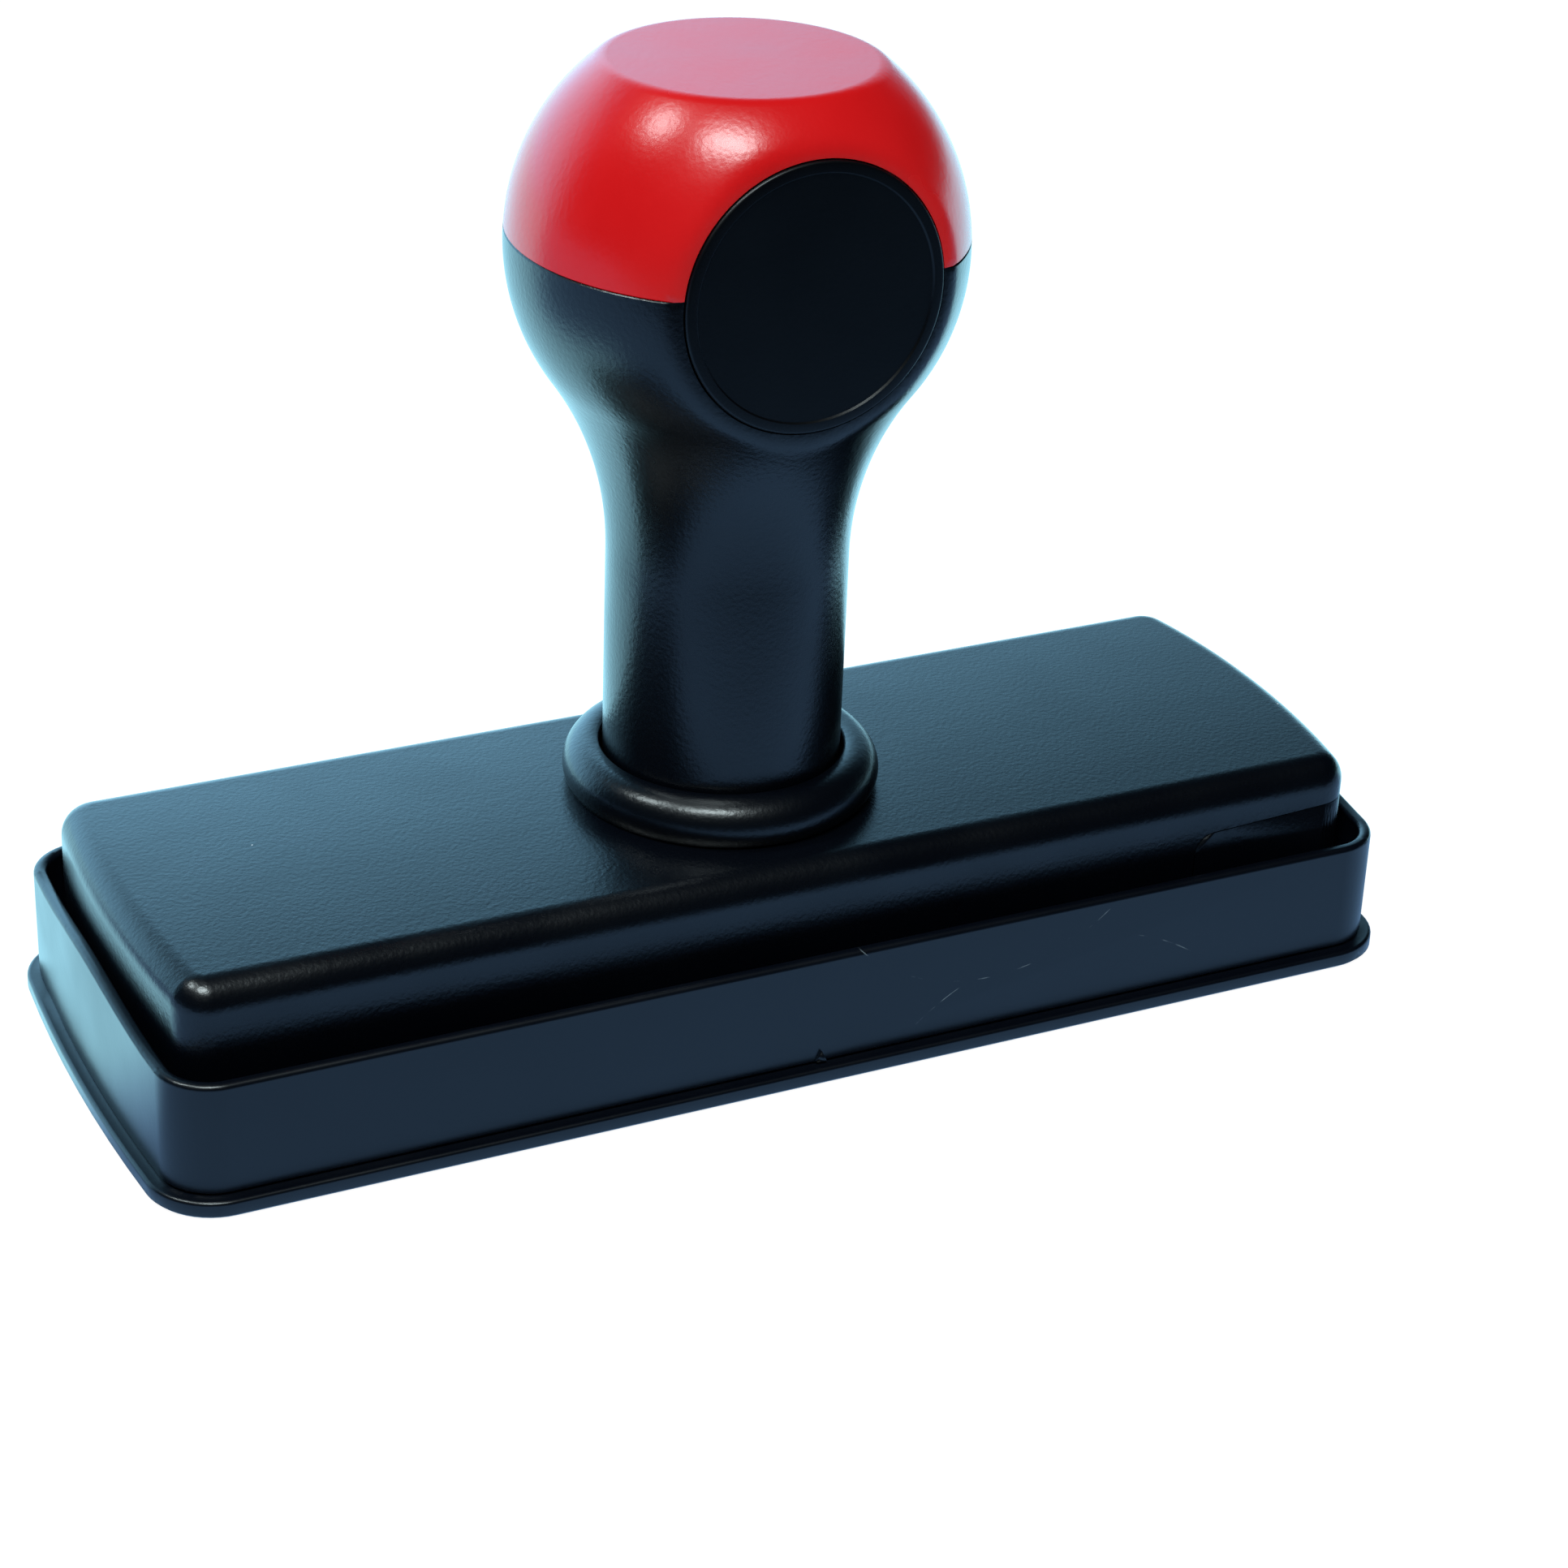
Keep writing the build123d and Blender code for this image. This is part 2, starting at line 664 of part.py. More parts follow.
with BuildPart() as handle_screw:
    with BuildSketch(Plane.XY.offset(head_z)):
        Circle(screw_head_radius)
    extrude(amount=screw_head_height)
    fillet(handle_screw.edges().group_by(Axis.Z)[0], screw_head_height / 3)
    with BuildSketch(Plane.XY.offset(head_z)):
        Rectangle(screw_head_radius, recess_width)
        Rectangle(recess_width, screw_head_radius)
    extrude(amount=recess_depth, mode=Mode.SUBTRACT)
    with BuildSketch(Plane.XY.offset(washer_z)):
        Circle(screw_radius)
    extrude(amount=screw_top - washer_z)
    chamfer(handle_screw.edges().group_by(Axis.Z)[-1], screw_radius / 3)
handle_screw.part.label = "handle_screw"

# ---- Return springs --------------------------------------------------------------------


def return_spring(place, label):
    """One coil spring, from the skirt's ledge up to the holder's plate."""
    height = plate_z - ledge_top - spring_wire
    coil_plane = Plane((place[0], place[1], ledge_top + spring_wire / 2))
    with BuildPart() as spring:
        with BuildLine(coil_plane) as coil:
            Helix(pitch=height / spring_turns, height=height, radius=spring_radius)
        with BuildSketch(Plane(coil.line @ 0, z_dir=coil.line % 0)):
            Circle(spring_wire / 2)
        sweep(path=coil.line, is_frenet=True)
    spring.part.label = label
    return spring.part


springs = []
for spring_place in spring_places:
    end_name = "left" if spring_place[0] < 0 else "right"
    side_name = "front" if spring_place[1] < 0 else "rear"
    springs.append(return_spring(spring_place, f"return_spring_{side_name}_{end_name}"))

# ---- Write the parts -------------------------------------------------------------------

os.makedirs("parts", exist_ok=True)
pieces = [
    dust_cover.part,
    skirt.part,
    top_cover.part,
    cartridge_holder.part,
    ink_pad.part,
    stamp_die.part,
    die_frame.part,
    collar_ring.part,
    handle_shell.part,
    knob_cap.part,
    knob_badge.part,
    handle_washer.part,
    handle_screw.part,
    *springs,
]
for piece in pieces:
    export_step(piece, f"parts/{piece.label}.step")
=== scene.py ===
"""Looks of a knob-handled self-inking stamp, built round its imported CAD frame.

Metres, in the frame of the CAD model: +X runs along the stamp to its cartridge end, -Y is
the front with the badge and +Z is up.  Sizes of the pieces and their finishes are in
millimetres, and sizes of the studio in metres.
"""

import logging
import math
from dataclasses import dataclass, field
from enum import Enum
from typing import Callable

import bpy
from mathutils import Matrix, Vector


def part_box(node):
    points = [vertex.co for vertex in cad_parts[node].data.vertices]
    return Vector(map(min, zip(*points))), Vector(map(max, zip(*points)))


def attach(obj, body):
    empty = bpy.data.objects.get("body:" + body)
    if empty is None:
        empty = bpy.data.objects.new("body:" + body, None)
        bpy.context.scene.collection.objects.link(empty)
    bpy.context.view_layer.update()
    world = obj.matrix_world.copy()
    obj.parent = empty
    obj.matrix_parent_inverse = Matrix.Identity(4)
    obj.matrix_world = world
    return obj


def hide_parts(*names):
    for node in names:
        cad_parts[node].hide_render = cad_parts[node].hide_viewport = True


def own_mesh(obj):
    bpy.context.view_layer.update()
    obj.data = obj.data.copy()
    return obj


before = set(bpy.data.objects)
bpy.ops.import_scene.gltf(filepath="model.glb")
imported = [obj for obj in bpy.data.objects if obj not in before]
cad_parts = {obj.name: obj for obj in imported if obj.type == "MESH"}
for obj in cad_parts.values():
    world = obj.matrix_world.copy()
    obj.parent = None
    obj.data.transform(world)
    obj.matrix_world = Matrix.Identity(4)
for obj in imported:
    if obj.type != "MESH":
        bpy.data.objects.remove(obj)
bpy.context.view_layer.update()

Colour = tuple[float, float, float]
Point = tuple[float, float]
Span = tuple[float, float]
Socket = bpy.types.NodeSocket
Value = Socket | float | tuple[float, float, float, float]

LOG = logging.getLogger("stamp")
MM = 0.001
SMOOTH_ANGLE = math.radians(32)
WELD = 0.000002  # points closer than this, in metres, are joined
LATHE_STEPS = 144
CURVE_STEP = 0.55  # height of one step of the handle's curve, in millimetres
TOWARDS = 0.9  # a face looks along an axis where its normal's part along it passes this
SQUARELY = 0.999  # and it lies square to the axis beyond this
NOISE_SPAN: Span = (0.2, 0.8)  # where most of a noise's values lie

WHITE = (1, 1, 1, 1)
DUST = (0.62, 0.66, 0.68, 1)
SCRATCH = (0.30, 0.38, 0.42, 1)
INK = (0.004, 0.004, 0.006, 1)
FLOOR_PAINT = (0.86, 0.87, 0.88, 1)
SOFT_SKY = (0.93, 0.97, 1.0, 1)


class Body(Enum):
    """The moving bodies of the frame."""

    DUST_COVER = "dust_cover"
    SKIRT = "skirt"
    BLOCK = "block"


# ---- Small helpers ---------------------------------------------------------------------


def select_only(obj: bpy.types.Object) -> None:
    """Deselects everything, then selects one object and makes it active.

    Args:
        obj: The object to work on.
    """
    bpy.ops.object.select_all(action="DESELECT")
    obj.select_set(True)
    bpy.context.view_layer.objects.active = obj


def dress(obj: bpy.types.Object, material: bpy.types.Material) -> None:
    """Gives an object one material, in its own slots.

    Args:
        obj: A piece or a CAD node.
        material: The material of its whole surface.
    """
    if not obj.material_slots:
        obj.data.materials.append(material)
    for slot in obj.material_slots:
        slot.material = material


def weigh_normals(obj: bpy.types.Object) -> None:
    """Lets large flat faces set the shading of the rounds beside them.

    Args:
        obj: The piece, which is active.
    """
    modifier = obj.modifiers.new("flat_faces", "WEIGHTED_NORMAL")
    modifier.mode = "FACE_AREA"
    modifier.weight = 100
    modifier.keep_sharp = True
    bpy.ops.object.modifier_apply(modifier=modifier.name)


def skin_of(node: str, name: str) -> bpy.types.Object:
    """Copies a CAD node into a piece of its own, with its points welded.

    Args:
        node: The CAD node.
        name: The new piece's name.

    Returns:
        The new piece, which stands for the node.
    """
    select_only(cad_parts[node])
    bpy.ops.object.duplicate(linked=False)
    piece = bpy.context.view_layer.objects.active
    piece.name = name
    piece.parent = None
    bpy.ops.object.mode_set(mode="EDIT")
    bpy.ops.mesh.select_all(action="SELECT")
    bpy.ops.mesh.remove_doubles(threshold=WELD)
    bpy.ops.object.mode_set(mode="OBJECT")
    return piece


def pick_faces(obj: bpy.types.Object, test: Callable[[bpy.types.MeshPolygon], bool]) -> None:
    """Selects the faces that pass a test, and leaves the piece in edit mode.

    Args:
        obj: The piece, which is active.
        test: Says of a face whether it is selected.
    """
    bpy.ops.object.mode_set(mode="EDIT")
    bpy.ops.mesh.select_mode(type="FACE")
    bpy.ops.mesh.select_all(action="DESELECT")
    bpy.ops.object.mode_set(mode="OBJECT")
    for face in obj.data.polygons:
        face.select = test(face)
    bpy.ops.object.mode_set(mode="EDIT")


def trace(name: str, points: list[Vector]) -> bpy.types.Object:
    """Draws a run of edges from point to point, as by extruding a vertex.

    Args:
        name: The new piece's name.
        points: The places that the run passes through.

    Returns:
        The piece, in edit mode, with all of the run selected.
    """
    bpy.ops.object.select_all(action="DESELECT")
    bpy.ops.mesh.primitive_plane_add(size=MM, location=(0, 0, 0))
    piece = bpy.context.object
    piece.name = name
    bpy.ops.object.mode_set(mode="EDIT")
    bpy.ops.mesh.select_mode(type="VERT")
    bpy.ops.mesh.merge(type="CENTER")
    bpy.ops.transform.translate(value=points[0])
    for here, there in zip(points, points[1:]):
        bpy.ops.mesh.extrude_vertices_move(TRANSFORM_OT_translate={"value": there - here})
    bpy.ops.mesh.select_all(action="SELECT")
    return piece


def lathe(name: str, profile: list[Point]) -> bpy.types.Object:
    """Turns a profile about the Z axis.

    Args:
        name: The new piece's name.
        profile: Radius and height of each point, in millimetres.

    Returns:
        The turned piece, in object mode.
    """
    piece = trace(name, [Vector((radius, 0, height)) * MM for radius, height in profile])
    bpy.ops.mesh.spin(steps=LATHE_STEPS, angle=2 * math.pi, center=(0, 0, 0), axis=(0, 0, 1))
    bpy.ops.mesh.select_all(action="SELECT")
    bpy.ops.mesh.remove_doubles(threshold=WELD)
    bpy.ops.mesh.normals_make_consistent(inside=False)
    bpy.ops.object.mode_set(mode="OBJECT")
    return piece


def prism(name: str, outline: list[Vector], along: Vector) -> bpy.types.Object:
    """Fills a closed outline and extrudes it.

    Args:
        name: The new piece's name.
        outline: The outline's corners, in order.
        along: The way and the distance of the extrusion.

    Returns:
        The prism, in object mode.
    """
    piece = trace(name, outline)
    bpy.ops.mesh.edge_face_add()
    bpy.ops.mesh.extrude_region_move(TRANSFORM_OT_translate={"value": along})
    bpy.ops.mesh.select_all(action="SELECT")
    bpy.ops.mesh.normals_make_consistent(inside=False)
    bpy.ops.object.mode_set(mode="OBJECT")
    return piece


def cut(piece: bpy.types.Object, cutter: bpy.types.Object) -> None:
    """Cuts one piece by another, and deletes the cutter.

    Args:
        piece: The piece that is kept.
        cutter: The shape that is taken out of it.
    """
    select_only(piece)
    modifier = piece.modifiers.new("cut", "BOOLEAN")
    modifier.operation = "DIFFERENCE"
    modifier.solver = "EXACT"
    modifier.object = cutter
    bpy.ops.object.modifier_apply(modifier=modifier.name)
    bpy.data.objects.remove(cutter, do_unlink=True)


def smooth(piece: bpy.types.Object) -> None:
    """Shades a piece smoothly up to its sharp edges.

    Args:
        piece: The piece to shade.
    """
    select_only(piece)
    bpy.ops.object.shade_smooth_by_angle(angle=SMOOTH_ANGLE)
    weigh_normals(piece)


def steps(start: float, end: float, count: int) -> list[float]:
    """Divides a range evenly, with both its ends.

    Args:
        start: Its first value.
        end: Its last value.
        count: How many runs it has.

    Returns:
        The values, one more than there are runs.
    """
    return [start + (end - start) * i / count for i in range(count + 1)]


def arc(centre: Point, radius: float, start: float, end: float, count: int) -> list[Point]:
    """Lists the points of an arc.

    Args:
        centre: The arc's centre.
        radius: Its radius.
        start: The angle of its first point, in degrees.
        end: The angle of its last point, in degrees.
        count: How many runs it has.

    Returns:
        The points, with both ends.
    """
    angles = [math.radians(a) for a in steps(start, end, count)]
    return [(centre[0] + radius * math.cos(a), centre[1] + radius * math.sin(a)) for a in angles]


def stand_for(
    piece: bpy.types.Object, node: str, body: Body, material: bpy.types.Material
) -> None:
    """Dresses a finished piece and puts it in its CAD node's place.

    Args:
        piece: The modelled piece.
        node: The CAD node that it stands for.
        body: The body that carries it.
        material: Its finish.
    """
    smooth(piece)
    dress(piece, material)
    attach(piece, body.value)
    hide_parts(node)
    low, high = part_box(node)
    faces, height = len(piece.data.polygons), (high[2] - low[2]) / MM
    LOG.info("%s: %d faces, stands for %s, %.1f mm high", piece.name, faces, node, height)


# ---- Finishes --------------------------------------------------------------------------


class Tree:
    """The nodes of one material or world, with short ways to add and join them."""

    def __init__(self, owner: bpy.types.ID) -> None:
        """Switches the owner's nodes on.

        Args:
            owner: The material or world.
        """
        owner.use_nodes = True
        self.nodes = owner.node_tree.nodes
        self.links = owner.node_tree.links

    def feed(self, socket: Socket, value: Value) -> None:
        """Joins a socket to an input, or sets the input's value.

        Args:
            socket: The input.
            value: An output to join to it, or a plain value.
        """
        if isinstance(value, Socket):
            self.links.new(value, socket)
        else:
            socket.default_value = value

    def place(self, coordinate: str = "Object") -> Socket:
        """Adds the coordinate that the textures follow.

        Args:
            coordinate: Its name in the Texture Coordinate node.

        Returns:
            The coordinate.
        """
        return self.nodes.new("ShaderNodeTexCoord").outputs[coordinate]

    def axes(self, place: Socket) -> list[Socket]:
        """Splits a coordinate into its X, Y and Z.

        Args:
            place: The coordinate.

        Returns:
            The three parts.
        """
        parts = self.nodes.new("ShaderNodeSeparateXYZ")
        self.feed(parts.inputs["Vector"], place)
        return list(parts.outputs)

    def math(self, operation: str, *values: Value) -> Socket:
        """Adds one sum.

        Args:
            operation: The Math node's operation.
            values: Its two or three inputs.

        Returns:
            The result.
        """
        node = self.nodes.new("ShaderNodeMath")
        node.operation = operation
        for socket, value in zip(node.inputs, values):
            self.feed(socket, value)
        return node.outputs["Value"]

    def ramp(
        self, value: Value, low: float, high: float, start: float = 0.0, end: float = 1.0
    ) -> Socket:
        """Maps a value smoothly from one range to another.

        Args:
            value: The value.
            low: Where the ramp starts.
            high: Where it ends.
            start: The result at and below the start.
            end: The result at and above the end.

        Returns:
            The result.
        """
        node = self.nodes.new("ShaderNodeMapRange")
        node.interpolation_type = "SMOOTHSTEP"
        names = ("Value", "From Min", "From Max", "To Min", "To Max")
        for name, item in zip(names, (value, low, high, start, end)):
            self.feed(node.inputs[name], item)
        return node.outputs["Result"]

    def mix(self, factor: Value, first: Value, second: Value) -> Socket:
        """Mixes two colours.

        Args:
            factor: The share of the second colour.
            first: The first colour.
            second: The second colour.

        Returns:
            The mixed colour.
        """
        node = self.nodes.new("ShaderNodeMix")
        node.data_type = "RGBA"
        self.feed(next(i for i in node.inputs if i.name == "Factor"), factor)
        for socket, item in zip((i for i in node.inputs if i.type == "RGBA"), (first, second)):
            self.feed(socket, item)
        return next(o for o in node.outputs if o.type == "RGBA")

    def blend(self, factor: Value, first: Socket, second: Socket) -> Socket:
        """Mixes two shaders.

        Args:
            factor: The share of the second shader.
            first: The first shader.
            second: The second shader.

        Returns:
            The mixed shader.
        """
        node = self.nodes.new("ShaderNodeMixShader")
        for socket, item in zip(node.inputs, (factor, first, second)):
            self.feed(socket, item)
        return node.outputs["Shader"]

    def noise(self, place: Socket, size: float, detail: float = 2.0) -> Socket:
        """Adds a noise.

        Args:
            place: The coordinate that it follows.
            size: The size of its features, in millimetres.
            detail: How many finer layers it has.

        Returns:
            Its value.
        """
        node = self.nodes.new("ShaderNodeTexNoise")
        node.inputs["Scale"].default_value = 1 / (size * MM)
        node.inputs["Detail"].default_value = detail
        self.feed(node.inputs["Vector"], place)
        return node.outputs["Fac"]

    def bump(self, height: Value, depth: float) -> Socket:
        """Adds a bump.

        Args:
            height: The pattern.
            depth: How deep it is, in millimetres.

        Returns:
            The normal.
        """
        node = self.nodes.new("ShaderNodeBump")
        node.inputs["Distance"].default_value = depth * MM
        self.feed(node.inputs["Height"], height)
        return node.outputs["Normal"]


def shades(colour: Colour, spread: float) -> tuple[Value, Value]:
    """Gives a darker and a lighter shade of one colour.

    Args:
        colour: The colour between them.
        spread: How far each lies from it, as a share.

    Returns:
        The two shades, with their alpha.
    """
    return tuple((*[min(1.0, c * k) for c in colour], 1.0) for k in (1 - spread, 1 + spread))


@dataclass(frozen=True)
class Plastic:
    """A moulded plastic with spark-eroded grain, fine dust and hairline scratches.

    Sizes are in millimetres.
    """

    name: str
    colour: Colour
    roughness: float
    grain: float = 0.22
    grain_depth: float = 0.012
    specular: float = 0.5
    dust: float = 0.02
    mottle: float = 9.0
    spread: float = 0.14  # how far its shades lie from its colour, as a share
    uneven: Span = (-0.03, 0.04)  # how far its roughness goes below and above
    speck_cell: float = 2.6
    speck_radius: float = 0.035  # as a share of its cell
    scratched: bool = False
    arcs: tuple[tuple[float, float, float], ...] = ((20.5, -12.0, 19.5), (14.0, 21.0, 15.4))
    arc_width: float = 0.035
    arc_front: float = -18.0
    arc_foot: float = 2.8
    arc_gaps: float = 2.6
    arc_span: Span = (0.50, 0.64)  # from the noise that breaks them up
    arc_strength: float = 0.35

    def build(self) -> bpy.types.Material:
        """Builds the node tree.

        Returns:
            The finished material.
        """
        material = bpy.data.materials.new(self.name)
        tree = Tree(material)
        shader = tree.nodes["Principled BSDF"]
        place = tree.place()
        mottle = tree.noise(place, self.mottle, 3)
        colour = tree.mix(mottle, *shades(self.colour, self.spread))
        colour = tree.mix(self.specks(tree, place), colour, DUST)
        if self.scratched:
            colour = tree.mix(self.hairlines(tree, place), colour, SCRATCH)
        fine = tree.noise(place, self.grain)
        rough = tree.ramp(mottle, *NOISE_SPAN, *(self.roughness + u for u in self.uneven))
        tree.feed(shader.inputs["Base Color"], colour)
        tree.feed(shader.inputs["Roughness"], rough)
        tree.feed(shader.inputs["Specular IOR Level"], self.specular)
        tree.feed(shader.inputs["Normal"], tree.bump(fine, self.grain_depth))
        return material

    def specks(self, tree: Tree, place: Socket) -> Socket:
        """Adds sparse dust specks, each in a cell of its own.

        Args:
            tree: The material's nodes.
            place: The coordinate that they follow.

        Returns:
            Their mask.
        """
        cells = tree.nodes.new("ShaderNodeTexVoronoi")
        cells.inputs["Scale"].default_value = 1 / (self.speck_cell * MM)
        tree.feed(cells.inputs["Vector"], place)
        parts = tree.nodes.new("ShaderNodeSeparateColor")
        tree.feed(parts.inputs["Color"], cells.outputs["Color"])
        near = tree.math("LESS_THAN", cells.outputs["Distance"], self.speck_radius)
        chosen = tree.math("LESS_THAN", parts.outputs["Red"], self.dust)
        return tree.math("MULTIPLY", near, chosen)

    def hairlines(self, tree: Tree, place: Socket) -> Socket:
        """Adds a few faint curved scratches on the front, above its foot.

        Args:
            tree: The material's nodes.
            place: The coordinate that they follow.

        Returns:
            Their mask.
        """
        x, y, z = (tree.math("DIVIDE", axis, MM) for axis in tree.axes(place))
        gaps = tree.noise(place, self.arc_gaps, 4)
        broken = tree.ramp(gaps, *self.arc_span, 0.0, self.arc_strength)
        ahead = tree.math("LESS_THAN", y, self.arc_front)
        front = tree.math("MULTIPLY", ahead, tree.math("GREATER_THAN", z, self.arc_foot))
        total = None
        for arc_x, arc_z, radius in self.arcs:
            wide = tree.math("POWER", tree.math("SUBTRACT", x, arc_x), 2.0)
            tall = tree.math("POWER", tree.math("SUBTRACT", z, arc_z), 2.0)
            away = tree.math("SUBTRACT", tree.math("SQRT", tree.math("ADD", wide, tall)), radius)
            line = tree.math("LESS_THAN", tree.math("ABSOLUTE", away), self.arc_width)
            total = line if total is None else tree.math("MAXIMUM", total, line)
        return tree.math("MULTIPLY", tree.math("MULTIPLY", total, broken), front)


@dataclass(frozen=True)
class Steel:
    """Drawn steel wire or turned steel, with faint lines along the metal."""

    name: str
    colour: Colour = (0.62, 0.62, 0.64)
    roughness: float = 0.28
    line: float = 0.4
    line_depth: float = 0.004
    spread: float = 0.12
    uneven: Span = (-0.06, 0.1)

    def build(self) -> bpy.types.Material:
        """Builds the node tree.

        Returns:
            The finished material.
        """
        material = bpy.data.materials.new(self.name)
        tree = Tree(material)
        shader = tree.nodes["Principled BSDF"]
        lines = tree.noise(tree.place(), self.line)
        rough = tree.ramp(lines, *NOISE_SPAN, *(self.roughness + u for u in self.uneven))
        tree.feed(shader.inputs["Metallic"], 1.0)
        colour = tree.mix(lines, *shades(self.colour, self.spread))
        tree.feed(shader.inputs["Base Color"], colour)
        tree.feed(shader.inputs["Roughness"], rough)
        tree.feed(shader.inputs["Normal"], tree.bump(lines, self.line_depth))
        return material


@dataclass(frozen=True)
class Porous:
    """A matt felt or foam rubber that is soaked with ink, with fibres or pores."""

    name: str
    colour: Colour
    pore: float
    depth: float
    roughness: float = 0.85
    sheen: float = 0.0
    spread: float = 0.25
    uneven: Span = (-0.15, 0.0)
    stain: float = 12.0  # size of its stains, in pores
    pore_span: Span = (0.3, 0.5)
    ink_share: float = 0.5

    def build(self) -> bpy.types.Material:
        """Builds the node tree.

        Returns:
            The finished material.
        """
        material = bpy.data.materials.new(self.name)
        tree = Tree(material)
        shader = tree.nodes["Principled BSDF"]
        place = tree.place()
        pores = tree.noise(place, self.pore, 5)
        stain = tree.noise(place, self.stain * self.pore, 2)
        colour = tree.mix(stain, *shades(self.colour, self.spread))
        wet = tree.ramp(pores, *self.pore_span, self.ink_share, 0.0)
        colour = tree.mix(wet, colour, INK)
        rough = tree.ramp(stain, *NOISE_SPAN, *(self.roughness + u for u in self.uneven))
        tree.feed(shader.inputs["Base Color"], colour)
        tree.feed(shader.inputs["Roughness"], rough)
        tree.feed(shader.inputs["Sheen Weight"], self.sheen)
        tree.feed(shader.inputs["Normal"], tree.bump(pores, self.depth))
        return material


# ---- The studio ------------------------------------------------------------------------


def direction(azimuth: float, elevation: float) -> Vector:
    """Turns two angles into a unit vector.

    Args:
        azimuth: Degrees round from the front, towards +X.
        elevation: Degrees above the floor.

    Returns:
        The direction from the stamp.
    """
    turn, rise = math.radians(azimuth), math.radians(elevation)
    level = math.cos(rise)
    return Vector((math.sin(turn) * level, -math.cos(turn) * level, math.sin(rise)))


@dataclass(frozen=True)
class Softbox:
    """One soft rectangular lamp, placed by its direction from the stamp.

    Angles are in degrees, sizes in metres and the power in watts.
    """

    name: str
    azimuth: float
    elevation: float
    width: float
    height: float
    power: float
    colour: Colour = (1.0, 1.0, 1.0)
    distance: float = 0.6

    def build(self, aim: Vector) -> None:
        """Adds the lamp, facing its aim.

        Args:
            aim: The point that it lights.
        """
        away = direction(self.azimuth, self.elevation)
        bpy.ops.object.light_add(type="AREA", location=aim + away * self.distance)
        lamp = bpy.context.object
        lamp.name = self.name
        lamp.data.shape = "RECTANGLE"
        lamp.data.size, lamp.data.size_y = self.width, self.height
        lamp.data.energy = self.power
        lamp.data.color = self.colour
        lamp.rotation_euler = (-away).to_track_quat("-Z", "Y").to_euler()


